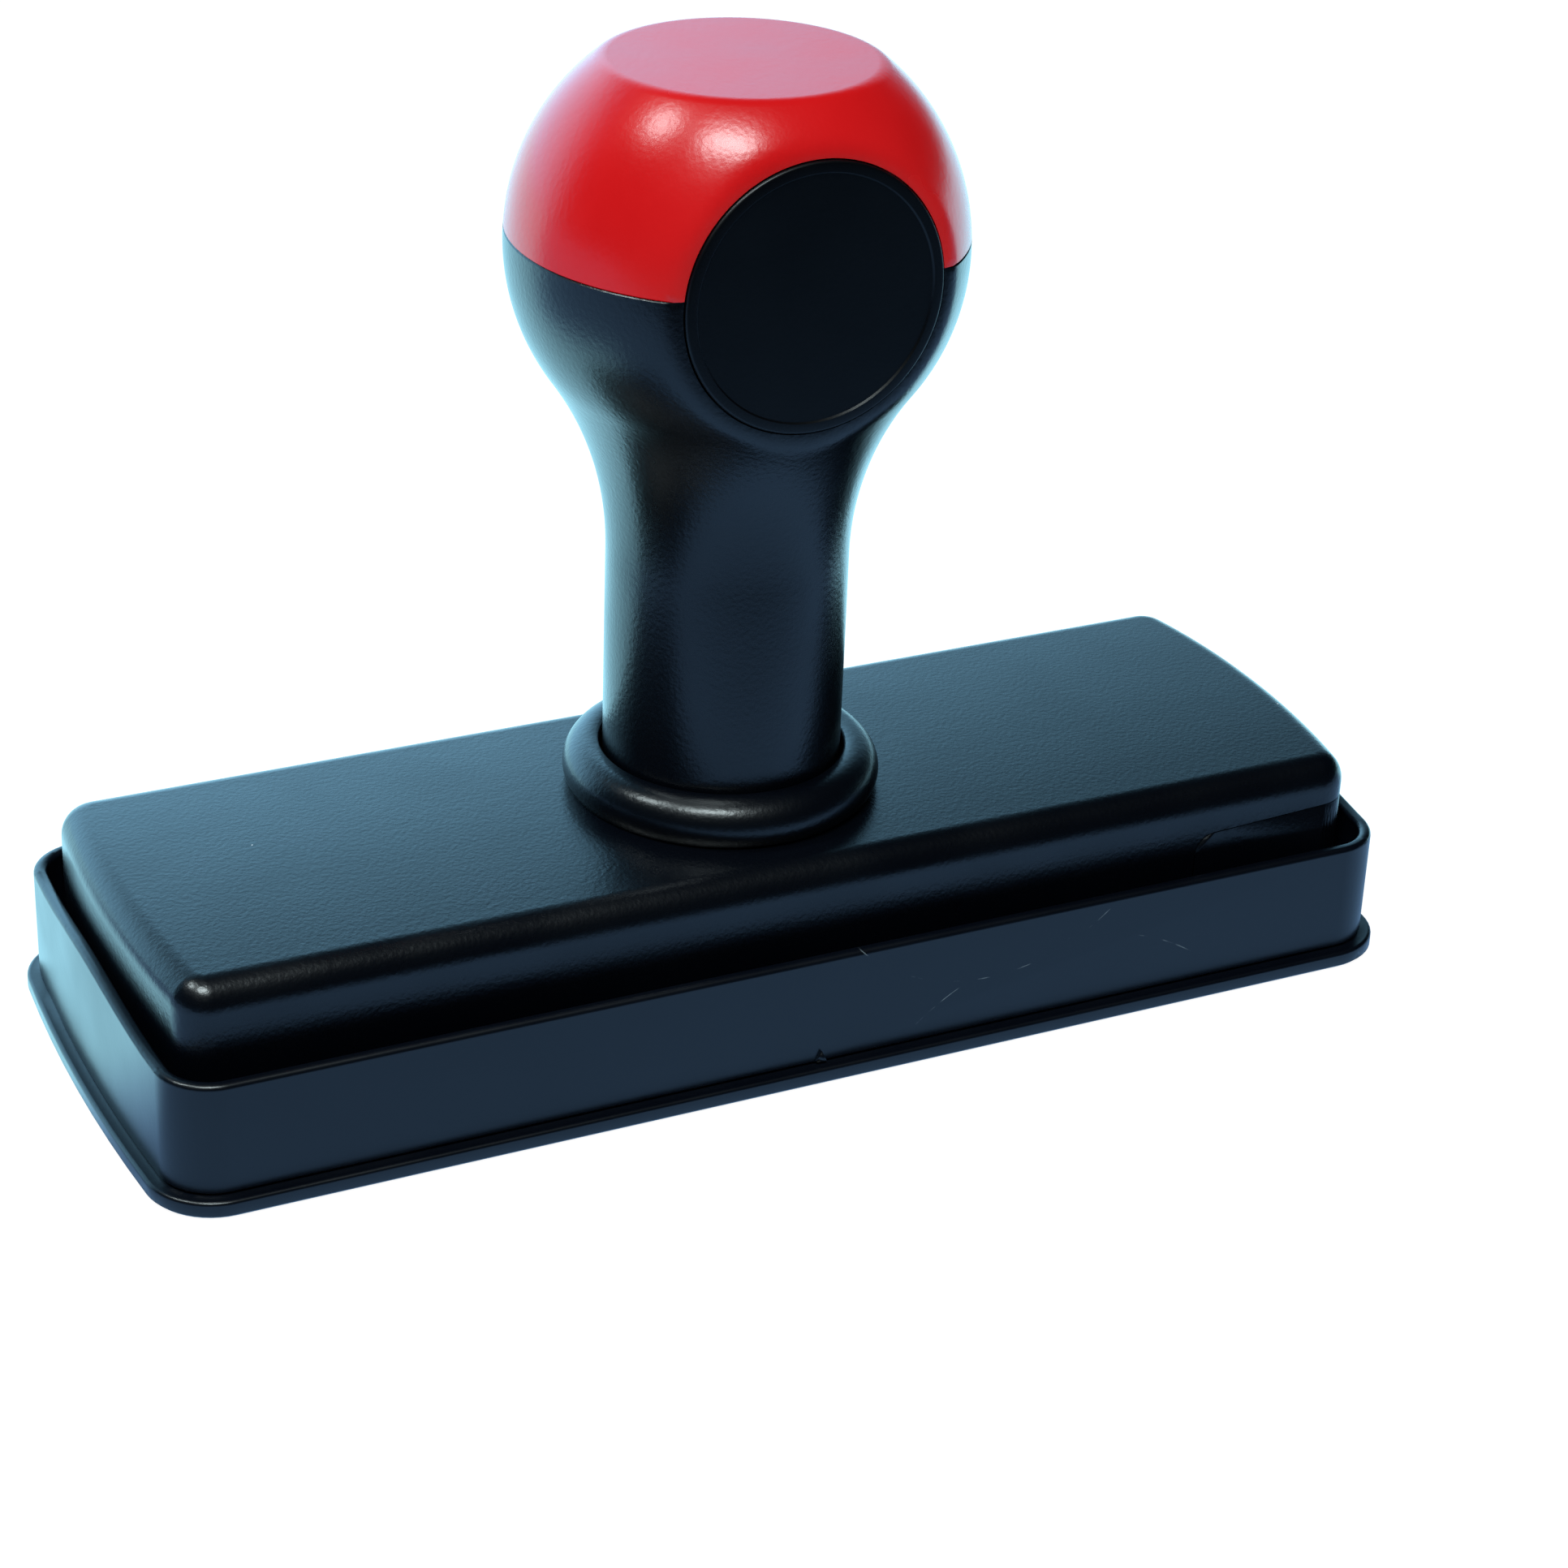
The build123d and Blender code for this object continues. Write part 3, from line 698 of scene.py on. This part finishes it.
@dataclass
class Studio:
    """Camera, pale floor, white background, soft lamps and cool light behind the stamp.

    Each span says where a change of light begins and ends, in metres on the floor, and as a
    part of the unit direction in the sky.  Lens and sensor are in millimetres.
    """

    lens: float = 86.0
    sensor: float = 36.0
    clip_start: float = 0.01
    camera_azimuth: float = -26.72
    camera_elevation: float = 27.6
    camera_roll: float = 2.37
    camera_distance: float = 0.2743
    camera_aim: tuple[float, float, float] = (0.0, -0.0109, 0.0208)
    sky: Colour = (0.32, 0.70, 1.0)
    rear_floor: Colour = (0.40, 0.82, 1.0)
    near_floor: Colour = (0.30, 0.58, 1.0)
    rear_floor_strength: float = 2.8
    rear_sky_strength: float = 3.5
    ambient: float = 0.42
    floor_size: float = 6.0
    floor_white: float = 1.17
    floor_share: float = 0.8  # how much of the glow the camera sees
    wedge_slope: float = 0.9
    wedge_span: Span = (-0.02, 0.03)
    beside_span: Span = (-0.095, -0.07)
    behind_span: Span = (-0.012, 0.006)
    front_span: Span = (-0.17, -0.03)
    front_dim: float = 0.03
    rear_span: Span = (0.45, 0.86)
    rear_dim: float = 0.02
    high_span: Span = (0.35, 0.85)
    high_dim: float = 0.08
    right_span: Span = (0.15, 0.60)
    right_dim: float = 0.36
    aim: tuple[float, float, float] = (0, 0, 0.03)
    lamps: list[Softbox] = field(default_factory=lambda: [
        Softbox("softbox_top_left", -106, 59, 0.10, 0.12, 1.1, (0.84, 0.98, 1.0)),
        Softbox("softbox_top_front", -36, 66, 0.22, 0.10, 2.6, (0.84, 0.98, 1.0)),
    ])

    def add_camera(self) -> None:
        """Adds the camera on its line of sight, with its small roll."""
        back = direction(self.camera_azimuth, self.camera_elevation)
        turn, roll = math.radians(self.camera_azimuth), math.radians(self.camera_roll)
        level = Vector((math.cos(turn), math.sin(turn), 0))
        right = level * math.cos(roll) + back.cross(level) * math.sin(roll)
        up = back.cross(right)
        bpy.ops.object.camera_add()
        camera = bpy.context.object
        camera.name = "camera"
        camera.data.lens = self.lens
        camera.data.sensor_width = self.sensor
        camera.data.clip_start = self.clip_start
        axes = Matrix((right, up, back)).transposed().to_4x4()
        axes.translation = Vector(self.camera_aim) + back * self.camera_distance
        camera.matrix_world = axes
        bpy.context.scene.camera = camera

    def add_floor(self) -> None:
        """Adds the pale floor, which shows white and keeps a faint shadow."""
        bpy.ops.mesh.primitive_plane_add(size=self.floor_size, location=(0, 0, 0))
        floor = bpy.context.object
        floor.name = "floor"
        material = bpy.data.materials.new("pale_floor")
        tree = Tree(material)
        tree.nodes.remove(tree.nodes["Principled BSDF"])
        path = tree.nodes.new("ShaderNodeLightPath").outputs
        x, y, _ = tree.axes(tree.place())
        wedge = tree.ramp(tree.math("MULTIPLY_ADD", x, self.wedge_slope, y), *self.wedge_span)
        beside = tree.ramp(x, *self.beside_span)
        behind = tree.ramp(y, *self.behind_span)
        lit = tree.math("MULTIPLY", behind, tree.math("MAXIMUM", wedge, beside))
        extra = tree.math("MULTIPLY", lit, self.rear_floor_strength - 1)
        strength = tree.math("ADD", tree.ramp(y, *self.front_span, self.front_dim, 1.0), extra)
        tint = tree.mix(lit, (*self.near_floor, 1), (*self.rear_floor, 1))
        matt = tree.nodes.new("ShaderNodeBsdfDiffuse")
        tree.feed(matt.inputs["Color"], FLOOR_PAINT)
        glow = tree.nodes.new("ShaderNodeEmission")
        seen = path["Is Camera Ray"]
        tree.feed(glow.inputs["Color"], tree.mix(seen, tint, WHITE))
        white = (self.floor_white, self.floor_white, self.floor_white, 1)
        tree.feed(glow.inputs["Strength"], tree.mix(seen, strength, white))
        share = tree.math("MULTIPLY_ADD", seen, self.floor_share, path["Is Glossy Ray"])
        mixed = tree.blend(share, matt.outputs["BSDF"], glow.outputs["Emission"])
        tree.feed(tree.nodes["Material Output"].inputs["Surface"], mixed)
        dress(floor, material)

    def add_world(self) -> None:
        """Lights the scene softly from all round and shows white behind the stamp."""
        world = bpy.data.worlds.new("studio")
        tree = Tree(world)
        path = tree.nodes.new("ShaderNodeLightPath").outputs
        x, y, z = tree.axes(tree.place("Generated"))
        rear = tree.ramp(y, *self.rear_span, self.rear_dim, self.rear_sky_strength)
        high = tree.ramp(z, *self.high_span, 1.0, self.high_dim)
        right = tree.ramp(x, *self.right_span, 1.0, self.right_dim)
        strength = tree.math("MULTIPLY", rear, tree.math("MULTIPLY", high, right))
        soft = tree.nodes["Background"]
        tree.feed(soft.inputs["Color"], SOFT_SKY)
        tree.feed(soft.inputs["Strength"], self.ambient)
        glow = tree.nodes.new("ShaderNodeBackground")
        seen = path["Is Camera Ray"]
        tree.feed(glow.inputs["Color"], tree.mix(seen, (*self.sky, 1), WHITE))
        tree.feed(glow.inputs["Strength"], tree.mix(seen, strength, WHITE))
        share = tree.math("SUBTRACT", 1.0, path["Is Diffuse Ray"])
        mixed = tree.blend(share, soft.outputs["Background"], glow.outputs["Background"])
        tree.feed(tree.nodes["World Output"].inputs["Surface"], mixed)
        bpy.context.scene.world = world

    def build(self) -> None:
        """Sets the view and adds camera, floor, world and lamps."""
        bpy.context.scene.view_settings.view_transform = "Standard"
        self.add_camera()
        self.add_floor()
        self.add_world()
        for lamp in self.lamps:
            lamp.build(Vector(self.aim))


# ---- Handle ----------------------------------------------------------------------------


@dataclass
class Handle:
    """Collar ring, hollow handle and red cap, turned about the Z axis, and the badge."""

    shaft: float = 9.0
    neck: float = 24.0
    knob: float = 16.6
    knob_middle: float = 59.0
    wall: float = 1.6
    seam_round: float = 0.1
    top_round: float = 1.6
    web: float = 22.05
    web_top: float = 23.85
    foot_land: float = 1.0  # length of the first straight run at the shaft's foot
    socket: float = 7.35
    flat: float = 12.69
    flat_softness: float = 0.17
    flat_wall: float = 10.29
    flat_reach: float = 3.0  # the press works this far inside the inner flat
    flat_limit: float = 30.0  # beyond this many softnesses the edge's curve is straight
    badge_radius: float = 9.8
    badge_seat: float = 11.69
    badge_face: float = 12.94
    badge_gap: float = 0.1
    badge_rim: float = 0.55
    badge_dish: float = 0.12
    badge_round: float = 0.22
    ring_section: float = 2.1
    ring_width: float = 2.77
    ring_edge: float = 0.35
    ring_lip: float = 0.9

    def radius_at(self, height: float, inset: float) -> float:
        """Gives the handle's radius at one height.

        Args:
            height: Height above the desk.
            inset: How far the curve lies inside the surface.

        Returns:
            The radius, of the shaft, of the neck's arc or of the knob's ball.
        """
        neck_x = self.shaft + self.neck
        reach = self.neck + self.knob
        neck_z = self.knob_middle - math.sqrt(reach**2 - neck_x**2)
        neck, ball = self.neck + inset, self.knob - inset
        blend_z = neck_z + (self.knob_middle - neck_z) * neck / reach
        if height <= neck_z:
            return self.shaft - inset
        if height <= blend_z:
            return neck_x - math.sqrt(neck**2 - (height - neck_z) ** 2)
        return math.sqrt(ball**2 - (height - self.knob_middle) ** 2)

    def curve(self, bottom: float, top: float, inset: float) -> list[Point]:
        """Lists the points of the handle's side between two heights.

        Args:
            bottom: The lower height.
            top: The upper height.
            inset: How far the points lie inside the surface.

        Returns:
            The radius and height of each point.
        """
        count = max(4, round((top - bottom) / CURVE_STEP))
        return [(self.radius_at(z, inset), z) for z in steps(bottom, top, count)]

    def flatten(self, piece: bpy.types.Object) -> None:
        """Presses the flat for the badge into the knob, with a softly rounded edge.

        Args:
            piece: The turned shell or cap.
        """
        for vertex in piece.data.vertices:
            x, y, z = (c / MM for c in vertex.co)
            if y > -self.flat_wall + self.flat_reach or z < self.knob_middle - self.knob:
                continue
            outer = math.hypot(x, y) > self.radius_at(z, self.wall / 2)
            limit = self.flat if outer else self.flat_wall
            excess = (-y - limit) / self.flat_softness
            if excess < -self.flat_limit:
                continue
            pressed = limit
            if excess < self.flat_limit:
                pressed -= self.flat_softness * math.log1p(math.exp(-excess))
            vertex.co.y = -pressed * MM

    def disc(self, radius: float, face: float) -> bpy.types.Object:
        """Adds a disc that stands upright in the badge's seat.

        Args:
            radius: Its radius.
            face: How far its face lies in front of the handle's axis.

        Returns:
            The disc.
        """
        depth = face - self.badge_seat
        bpy.ops.object.select_all(action="DESELECT")
        bpy.ops.mesh.primitive_cylinder_add(
            vertices=LATHE_STEPS,
            radius=radius * MM,
            depth=depth * MM,
            rotation=(math.pi / 2, 0, 0),
            location=(0, -(self.badge_seat + depth / 2) * MM, self.knob_middle * MM),
        )
        return bpy.context.object

    def pocket(self, piece: bpy.types.Object) -> None:
        """Cuts the badge's pocket into the flat.

        Args:
            piece: The shell or the cap.
        """
        cut(piece, self.disc(self.badge_radius + self.badge_gap, self.knob))

    def build_shell(self) -> bpy.types.Object:
        """Turns the black shaft, neck and lower half of the knob.

        Returns:
            The shell.
        """
        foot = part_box("handle_shell")[0][2] / MM
        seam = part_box("handle_shell")[1][2] / MM
        lip = self.radius_at(seam - self.seam_round, 0)
        profile = [(0, self.web), (self.socket, self.web), (self.socket, foot), (self.shaft, foot)]
        profile += self.curve(foot + self.foot_land, seam - self.seam_round, 0)
        profile += [(lip - self.seam_round, seam), (self.radius_at(seam, self.wall), seam)]
        profile += reversed(self.curve(self.web_top, seam - self.seam_round, self.wall))
        profile += [(0, self.web_top)]
        shell = lathe("handle_shell_turned", profile)
        self.flatten(shell)
        self.pocket(shell)
        return shell

    def build_cap(self) -> bpy.types.Object:
        """Turns the red cap, with its flat top.

        Returns:
            The cap.
        """
        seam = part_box("handle_shell")[1][2] / MM
        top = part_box("knob_cap")[1][2] / MM
        lip = self.radius_at(seam + self.seam_round, 0)
        rise = top - self.top_round - self.knob_middle
        reach = math.sqrt((self.knob - self.top_round) ** 2 - rise**2)
        tilt = math.atan2(rise, reach)
        profile = [(self.radius_at(seam, self.wall), seam), (lip - self.seam_round, seam)]
        shoulder = self.knob_middle + self.knob * math.sin(tilt)
        profile += self.curve(seam + self.seam_round, shoulder, 0)
        corner = (reach, top - self.top_round)
        profile += arc(corner, self.top_round, math.degrees(tilt), 90, 6)[1:]
        profile += [(reach / 2, top), (0, top), (0, top - self.wall)]
        profile += reversed(self.curve(seam, top - self.wall, self.wall))
        cap = lathe("knob_cap_turned", profile)
        self.flatten(cap)
        self.pocket(cap)
        return cap

    def build_badge(self) -> bpy.types.Object:
        """Makes the bare badge, a disc with a fine raised rim.

        Returns:
            The badge.
        """
        badge = self.disc(self.badge_radius, self.badge_face)
        badge.name = "knob_badge_disc"
        bpy.ops.object.transform_apply(location=True, rotation=True, scale=True)
        pick_faces(badge, lambda face: face.normal.y < -TOWARDS)
        bpy.ops.mesh.bevel(offset=self.badge_round * MM, segments=4, affect="EDGES")
        pick_faces(badge, lambda face: face.normal.y < -SQUARELY)
        bpy.ops.mesh.inset(thickness=self.badge_rim * MM)
        bpy.ops.mesh.inset(thickness=self.badge_dish * MM)
        bpy.ops.transform.translate(value=(0, self.badge_dish * MM, 0))
        bpy.ops.mesh.inset(thickness=self.badge_dish * MM)
        bpy.ops.object.mode_set(mode="OBJECT")
        return badge

    def build_ring(self) -> bpy.types.Object:
        """Turns the round collar at the foot of the handle.

        Returns:
            The ring.
        """
        low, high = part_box("collar_ring")
        seat, top, outer = low[2] / MM, high[2] / MM, high[0] / MM
        middle = (outer - self.ring_section, top - self.ring_section)
        hole, edge = outer - self.ring_width, self.ring_edge
        rise = math.degrees(math.asin(min(1, (middle[1] - seat) / self.ring_section)))
        lip_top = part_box("handle_shell")[0][2] / MM
        profile = [(hole - self.ring_lip, seat)]
        profile += arc(middle, self.ring_section, -rise, 90, 28)
        profile += arc((hole + edge, top - edge), edge, 90, 180, 6)[1:]
        profile += [(hole, lip_top), (hole - self.ring_lip, lip_top), (hole - self.ring_lip, seat)]
        return lathe("collar_ring_turned", profile)

    def build(
        self, black: bpy.types.Material, red: bpy.types.Material, badge: bpy.types.Material
    ) -> None:
        """Builds and dresses the four pieces.

        Args:
            black: Finish of the ring and the shell.
            red: Finish of the cap.
            badge: Finish of the badge.
        """
        stand_for(self.build_ring(), "collar_ring", Body.BLOCK, black)
        stand_for(self.build_shell(), "handle_shell", Body.BLOCK, black)
        stand_for(self.build_cap(), "knob_cap", Body.BLOCK, red)
        stand_for(self.build_badge(), "knob_badge", Body.BLOCK, badge)


# ---- Block -----------------------------------------------------------------------------


@dataclass
class Block:
    """Top cover of the block and the cartridge inside it."""

    bow: float = 95.0
    corner: float = 2.7
    wall: float = 1.3
    top: float = 1.7
    edge_round: float = 2.2
    crown: float = 0.4
    strips: int = 14
    seat_radius: float = 11.3
    seat_depth: float = 0.2
    margin: float = 1.0  # how far a cutter reaches past what it cuts
    top_slack: float = 0.1  # a face this little below the top still belongs to it
    round_slack: float = 0.01  # and so does a corner of the edge's round
    notch_run: float = 15.2
    notch_rise: float = 2.7
    notch_corner: float = 1.7
    notch_climb: float = 0.7

    def outline(self, half_x: float, half_y: float, height: float) -> list[Vector]:
        """Lists the plan outline, with bowed ends and rounded corners.

        Args:
            half_x: Half the length, over the middles of the ends.
            half_y: Half the width.
            height: The outline's height.

        Returns:
            The corners in order, in metres.
        """
        middle = half_x - self.bow
        corner_y = half_y - self.corner
        corner_x = middle + math.sqrt((self.bow - self.corner) ** 2 - corner_y**2)
        meet = math.degrees(math.atan2(corner_y, corner_x - middle))
        quarter = arc((middle, 0), self.bow, 0, meet, 10)
        quarter += arc((corner_x, corner_y), self.corner, meet, 90, 12)[1:]
        half = quarter + [(-x, y) for x, y in reversed(quarter)]
        ring = half + [(x, -y) for x, y in reversed(half)][1:-1]
        return [Vector((x, y, height)) * MM for x, y in ring]

    def notch(self, low: Vector, high: Vector) -> bpy.types.Object:
        """Makes the cutter for the notch at the cartridge end.

        Args:
            low: The cover's lowest corner, in millimetres.
            high: Its highest corner.

        Returns:
            The cutter.
        """
        start = high.x - self.notch_run
        seam = low.z + self.notch_rise
        end = high.x + self.margin
        side = [(end, low.z - self.margin), (start, low.z - self.margin)]
        side += arc((start + self.notch_corner, seam), self.notch_corner, 180, 90, 8)
        side += [(end, seam + self.notch_corner + self.notch_climb)]
        outline = [Vector((x, low.y - self.margin, z)) * MM for x, z in side]
        across = high.y - low.y + 2 * self.margin
        return prism("notch_cutter", outline, Vector((0, across, 0)) * MM)

    def build_cover(self) -> bpy.types.Object:
        """Models the crowned top cover as a shell that is open below.

        Returns:
            The cover.
        """
        low, high = (Vector(c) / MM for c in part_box("top_cover"))
        top_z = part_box("collar_ring")[0][2] / MM + self.seat_depth
        cover = prism(
            "top_cover_shell",
            self.outline(high.x, high.y, low.z),
            Vector((0, 0, top_z - low.z)) * MM,
        )
        pick_faces(cover, lambda face: face.normal.z < -TOWARDS)
        bpy.ops.mesh.inset(thickness=self.wall * MM)
        bpy.ops.mesh.extrude_region_move(
            TRANSFORM_OT_translate={"value": (0, 0, (top_z - self.top - low.z) * MM)}
        )
        under_top = (top_z - self.top_slack) * MM
        pick_faces(cover, lambda face: face.normal.z > TOWARDS and face.center.z > under_top)
        bpy.ops.mesh.bevel(offset=self.edge_round * MM, segments=8, affect="EDGES")
        for y in steps(low.y, high.y, self.strips)[1:-1]:
            bpy.ops.mesh.select_all(action="SELECT")
            bpy.ops.mesh.bisect(plane_co=(0, y * MM, 0), plane_no=(0, 1, 0))
        bpy.ops.object.mode_set(mode="OBJECT")
        for vertex in cover.data.vertices:
            if vertex.co.z > (top_z - self.edge_round - self.round_slack) * MM:
                across = vertex.co.y / MM / high.y
                vertex.co.z += self.crown * (1 - across**2) * MM
        cut(cover, self.notch(low, high))
        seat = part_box("collar_ring")[0][2]
        bpy.ops.object.select_all(action="DESELECT")
        bpy.ops.mesh.primitive_cylinder_add(
            vertices=LATHE_STEPS,
            radius=self.seat_radius * MM,
            depth=2 * MM,
            location=(0, 0, seat + MM),
        )
        cut(cover, bpy.context.object)
        return cover

    def build(self, shell: bpy.types.Material, inside: dict[str, bpy.types.Material]) -> None:
        """Builds the cover and the cartridge holder, and dresses the pieces inside them.

        Args:
            shell: Finish of the cover and the holder.
            inside: The finish of each CAD node inside them.
        """
        stand_for(self.build_cover(), "top_cover", Body.BLOCK, shell)
        holder = skin_of("cartridge_holder", "cartridge_holder_skin")
        stand_for(holder, "cartridge_holder", Body.BLOCK, shell)
        for node, material in inside.items():
            dress(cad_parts[node], material)
            LOG.info("%s: dressed in %s", node, material.name)


# ---- Base ------------------------------------------------------------------------------


@dataclass
class Base:
    """The skirt, which stands round the block, and the dust cover under it."""

    def build(self, material: bpy.types.Material) -> None:
        """Builds and dresses the two pieces.

        Args:
            material: The finish of both.
        """
        skirt = skin_of("skirt", "skirt_skin")
        stand_for(skirt, "skirt", Body.SKIRT, material)
        cover = skin_of("dust_cover", "dust_cover_skin")
        stand_for(cover, "dust_cover", Body.DUST_COVER, material)


@dataclass
class Springs:
    """The four return springs, carried by the block."""

    joint: str = "press_stroke"

    def build(self, material: bpy.types.Material) -> None:
        """Builds and dresses the springs, each carried whole by the block.

        Args:
            material: The finish of all four.
        """
        for node in sorted(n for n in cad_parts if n.startswith("return_spring")):
            spring = skin_of(node, f"{node}_coil")
            stand_for(spring, node, Body.BLOCK, material)
            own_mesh(spring)


def main() -> None:
    """Builds the studio and the stamp."""
    logging.basicConfig(level=logging.INFO)
    Studio().build()
    black = Plastic(
        "black_grained_plastic", (0.0006, 0.0013, 0.0032), 0.28, grain=0.36, grain_depth=0.022
    ).build()
    satin = Plastic(
        "black_smooth_plastic",
        (0.0008, 0.0018, 0.0045),
        0.30,
        grain=0.5,
        grain_depth=0.005,
        scratched=True,
    ).build()
    matt = Plastic(
        "black_badge_plastic",
        (0.0006, 0.0010, 0.0020),
        0.36,
        grain_depth=0.006,
        specular=0.35,
        dust=0.03,
    ).build()
    red = Plastic(
        "red_cap_plastic", (0.52, 0.003, 0.004), 0.24, grain=0.45, grain_depth=0.014, specular=0.42
    ).build()
    steel = Steel("spring_steel").build()
    rubber = Porous("die_rubber", (0.035, 0.035, 0.05), 0.3, 0.01, roughness=0.7).build()
    felt = Porous("ink_pad_felt", (0.05, 0.05, 0.12), 0.25, 0.12, sheen=0.4).build()
    inside = {
        "die_frame": satin,
        "stamp_die": rubber,
        "ink_pad": felt,
        "handle_washer": steel,
        "handle_screw": steel,
    }
    Handle().build(black, red, matt)
    Block().build(black, inside)
    Base().build(satin)
    Springs().build(steel)


if __name__ == "__main__":
    main()
